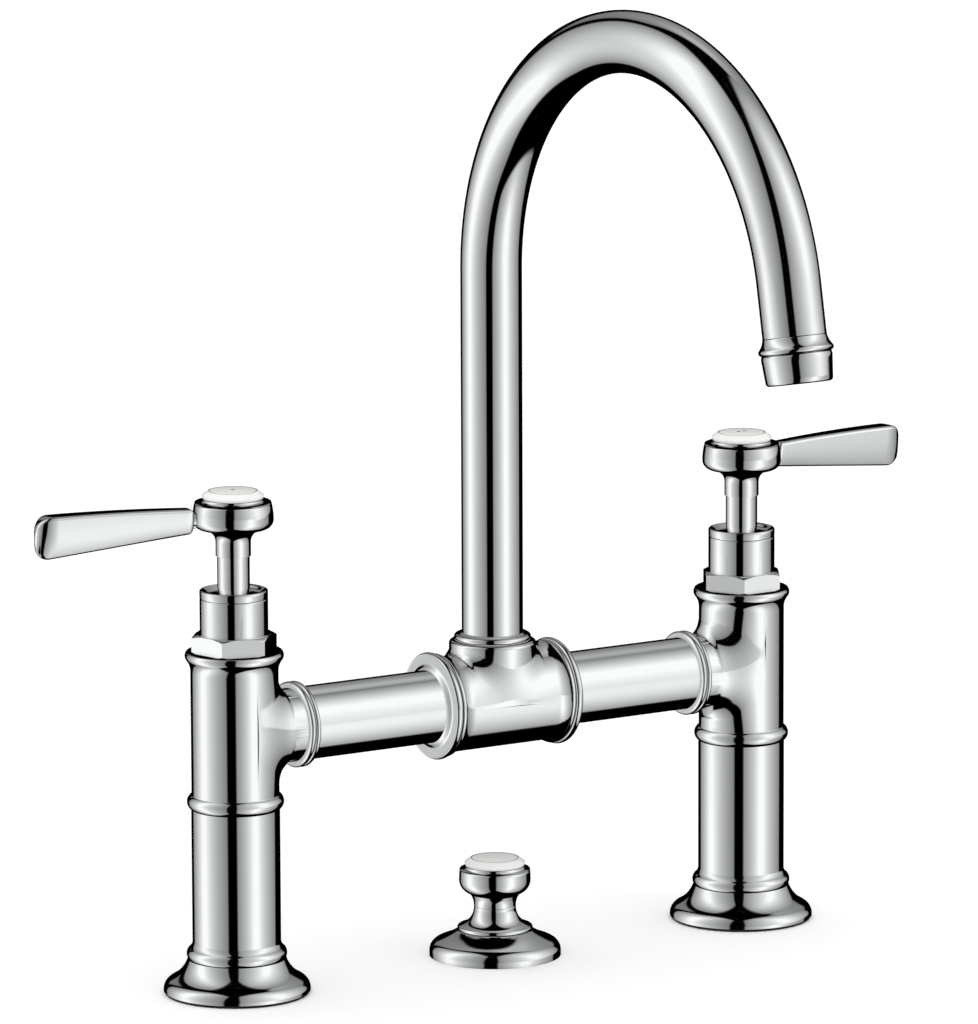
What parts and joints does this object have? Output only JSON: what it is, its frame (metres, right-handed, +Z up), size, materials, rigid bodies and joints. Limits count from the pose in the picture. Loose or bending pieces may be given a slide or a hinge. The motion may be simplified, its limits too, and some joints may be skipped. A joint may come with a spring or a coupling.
{
  "type": "deck-mounted bridge basin mixer tap",
  "caption": "Chrome bridge basin mixer: twin bell-footed pillars, level bridge, swivel swan-neck spout, quarter-turn lever handles with porcelain discs and a pop-up pull knob.",
  "frame": {"origin": "on the deck's top surface, midway between the axes of the two pillars", "axes": "+X along the bridge from the cold pillar (left, seen by the user) to the hot pillar, +Y away from the user, +Z up; the spout points to -Y at rest"},
  "size_m": [0.3519, 0.2169, 0.5235],
  "materials": {
    "chrome": "polished chrome plate on brass",
    "brass": "machined, unplated",
    "steel": "plain stainless",
    "rubber": "black moulded rubber",
    "porcelain": "glazed white porcelain",
    "ceramic": "lapped alumina ceramic",
    "plastic": "pale acetal"
  },
  "bodies": {
    "tap": {"arm_seals": "rubber", "backnuts": "brass", "cold_base_flange": "chrome", "cold_bridge_arm": "chrome", "cold_fixed_disc": "ceramic", "cold_gland_cap": "chrome", "cold_headwork": "chrome", "cold_port_ring": "chrome", "cold_seat_seal": "rubber", "cold_shank": "brass", "cold_stand_tube": "chrome", "cold_tee_ring": "chrome", "cold_valve_body": "chrome", "deck_seals": "rubber", "deck_washers": "steel", "flange_gaskets": "rubber", "guide_nut": "brass", "hot_base_flange": "chrome", "hot_bridge_arm": "chrome", "hot_fixed_disc": "ceramic", "hot_gland_cap": "chrome", "hot_headwork": "chrome", "hot_port_ring": "chrome", "hot_seat_seal": "rubber", "hot_shank": "brass", "hot_stand_tube": "chrome", "hot_tee_ring": "chrome", "hot_valve_body": "chrome", "rod_guide": "chrome", "rosette": "chrome", "spout_bearing": "plastic", "spout_grub_screw": "steel", "tee_body": "chrome"},
    "spout": {"spout_spigot": "chrome", "spout_seals": "rubber", "spout_tube": "chrome", "outlet_socket": "chrome", "aerator_housing": "chrome", "aerator_insert": "plastic", "aerator_seal": "rubber"},
    "cold_handle": {"cold_moving_disc": "ceramic", "cold_spindle": "brass", "cold_spindle_seal": "rubber", "cold_stem_sleeve": "chrome", "cold_handle_hub": "chrome", "cold_lever": "chrome", "cold_handle_screw": "steel", "cold_index_disc": "porcelain"},
    "hot_handle": {"hot_moving_disc": "ceramic", "hot_spindle": "brass", "hot_spindle_seal": "rubber", "hot_stem_sleeve": "chrome", "hot_handle_hub": "chrome", "hot_lever": "chrome", "hot_handle_screw": "steel", "hot_index_disc": "porcelain"},
    "pull_knob": {"pull_knob": "chrome", "knob_disc": "porcelain", "pull_rod": "chrome"}
  },
  "joints": [
    {"name": "spout_swivel", "type": "hinge", "parent": "tap", "child": "spout", "pos_m": [0, 0, 0.1135], "axis": [0, 0, 1], "range_deg": [-60, 60]},
    {"name": "cold_lever_turn", "type": "hinge", "parent": "tap", "child": "cold_handle", "pos_m": [-0.105, 0, 0.138], "axis": [0, 0, 1], "range_deg": [0, 90]},
    {"name": "hot_lever_turn", "type": "hinge", "parent": "tap", "child": "hot_handle", "pos_m": [0.105, 0, 0.138], "axis": [0, 0, 1], "range_deg": [-90, 0]},
    {"name": "knob_lift", "type": "slide", "parent": "tap", "child": "pull_knob", "axis": [0, 0, 1], "range_m": [0, 0.025]}
  ]
}
